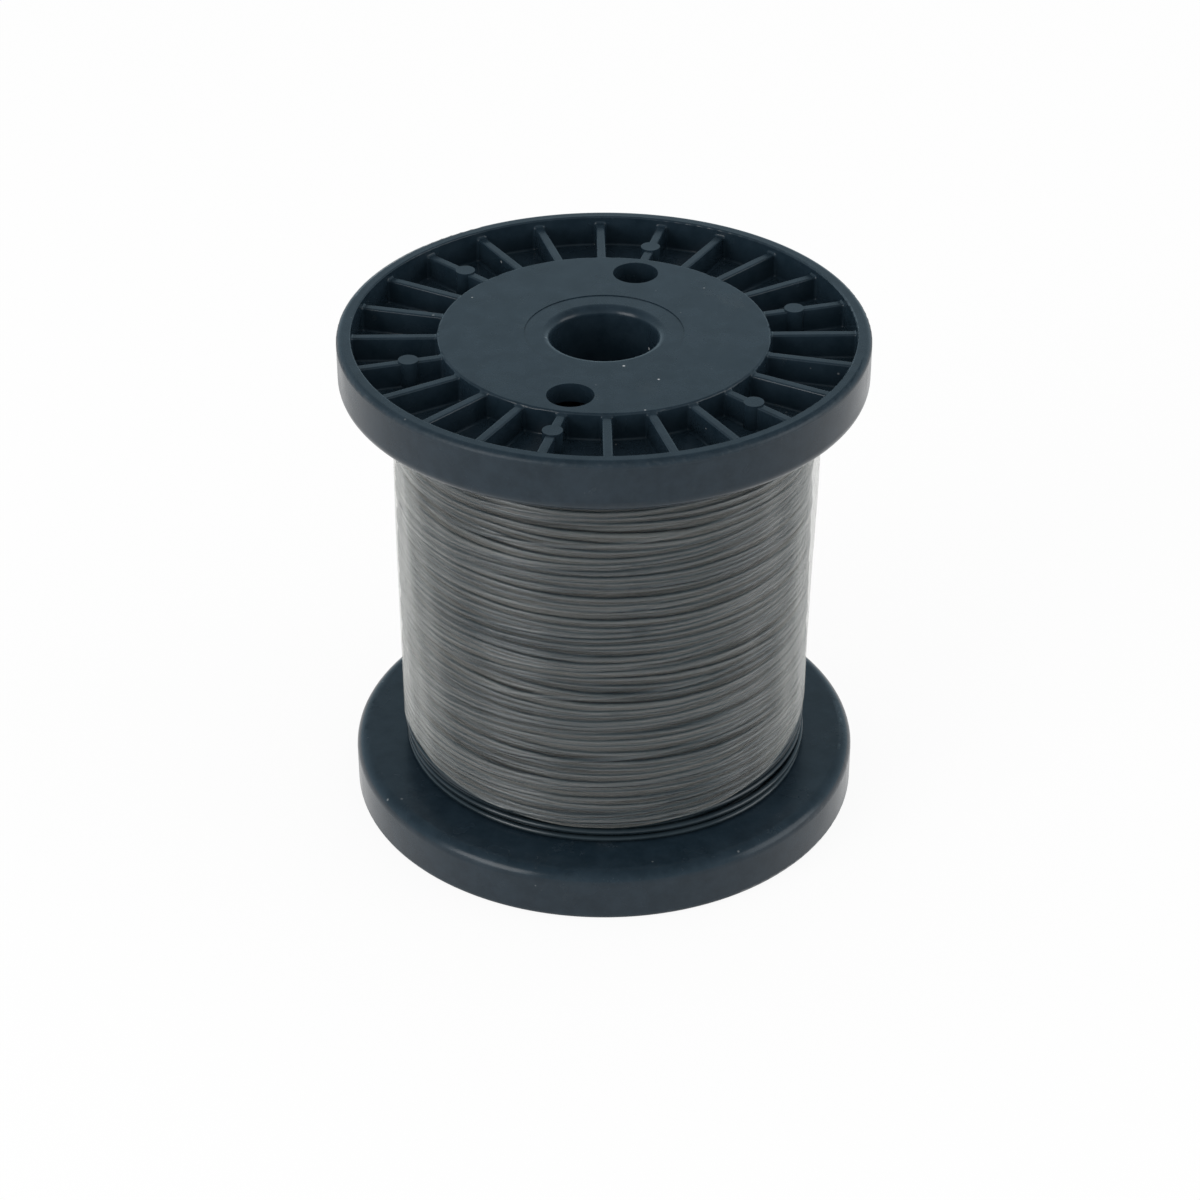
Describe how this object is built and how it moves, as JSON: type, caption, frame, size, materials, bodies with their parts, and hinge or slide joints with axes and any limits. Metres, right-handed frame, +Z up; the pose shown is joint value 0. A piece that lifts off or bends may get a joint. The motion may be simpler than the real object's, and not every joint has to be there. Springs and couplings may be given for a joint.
{
  "type": "filament spool",
  "caption": "Moulded spool with two ribbed flanges and a plain centre bore, wound full with thin dark filament and wrapped in clear film.",
  "frame": {"origin": "middle of the spool's foot, on its axis, in the plane of the lower flange's rim", "axes": "+Z up along the spool's axis, towards the upper flange; the drive holes of both flanges lie on Y"},
  "size_m": [0.08, 0.08, 0.0808],
  "materials": {
    "moulded_plastic": "black moulded plastic, satin, slightly blue",
    "strand": "dark grey filament, soft gloss",
    "clear_film": "thin clear film, slightly hazy"
  },
  "bodies": {
    "root": {"lower_flange": "moulded_plastic", "upper_flange": "moulded_plastic", "barrel": "moulded_plastic", "arbor_tube": "moulded_plastic", "winding_layer_1": "strand", "winding_layer_2": "strand", "winding_layer_3": "strand", "winding_layer_4": "strand", "winding_layer_5": "strand", "winding_layer_6": "strand", "winding_layer_7": "strand", "film_wrap": "clear_film"}
  },
  "joints": []
}
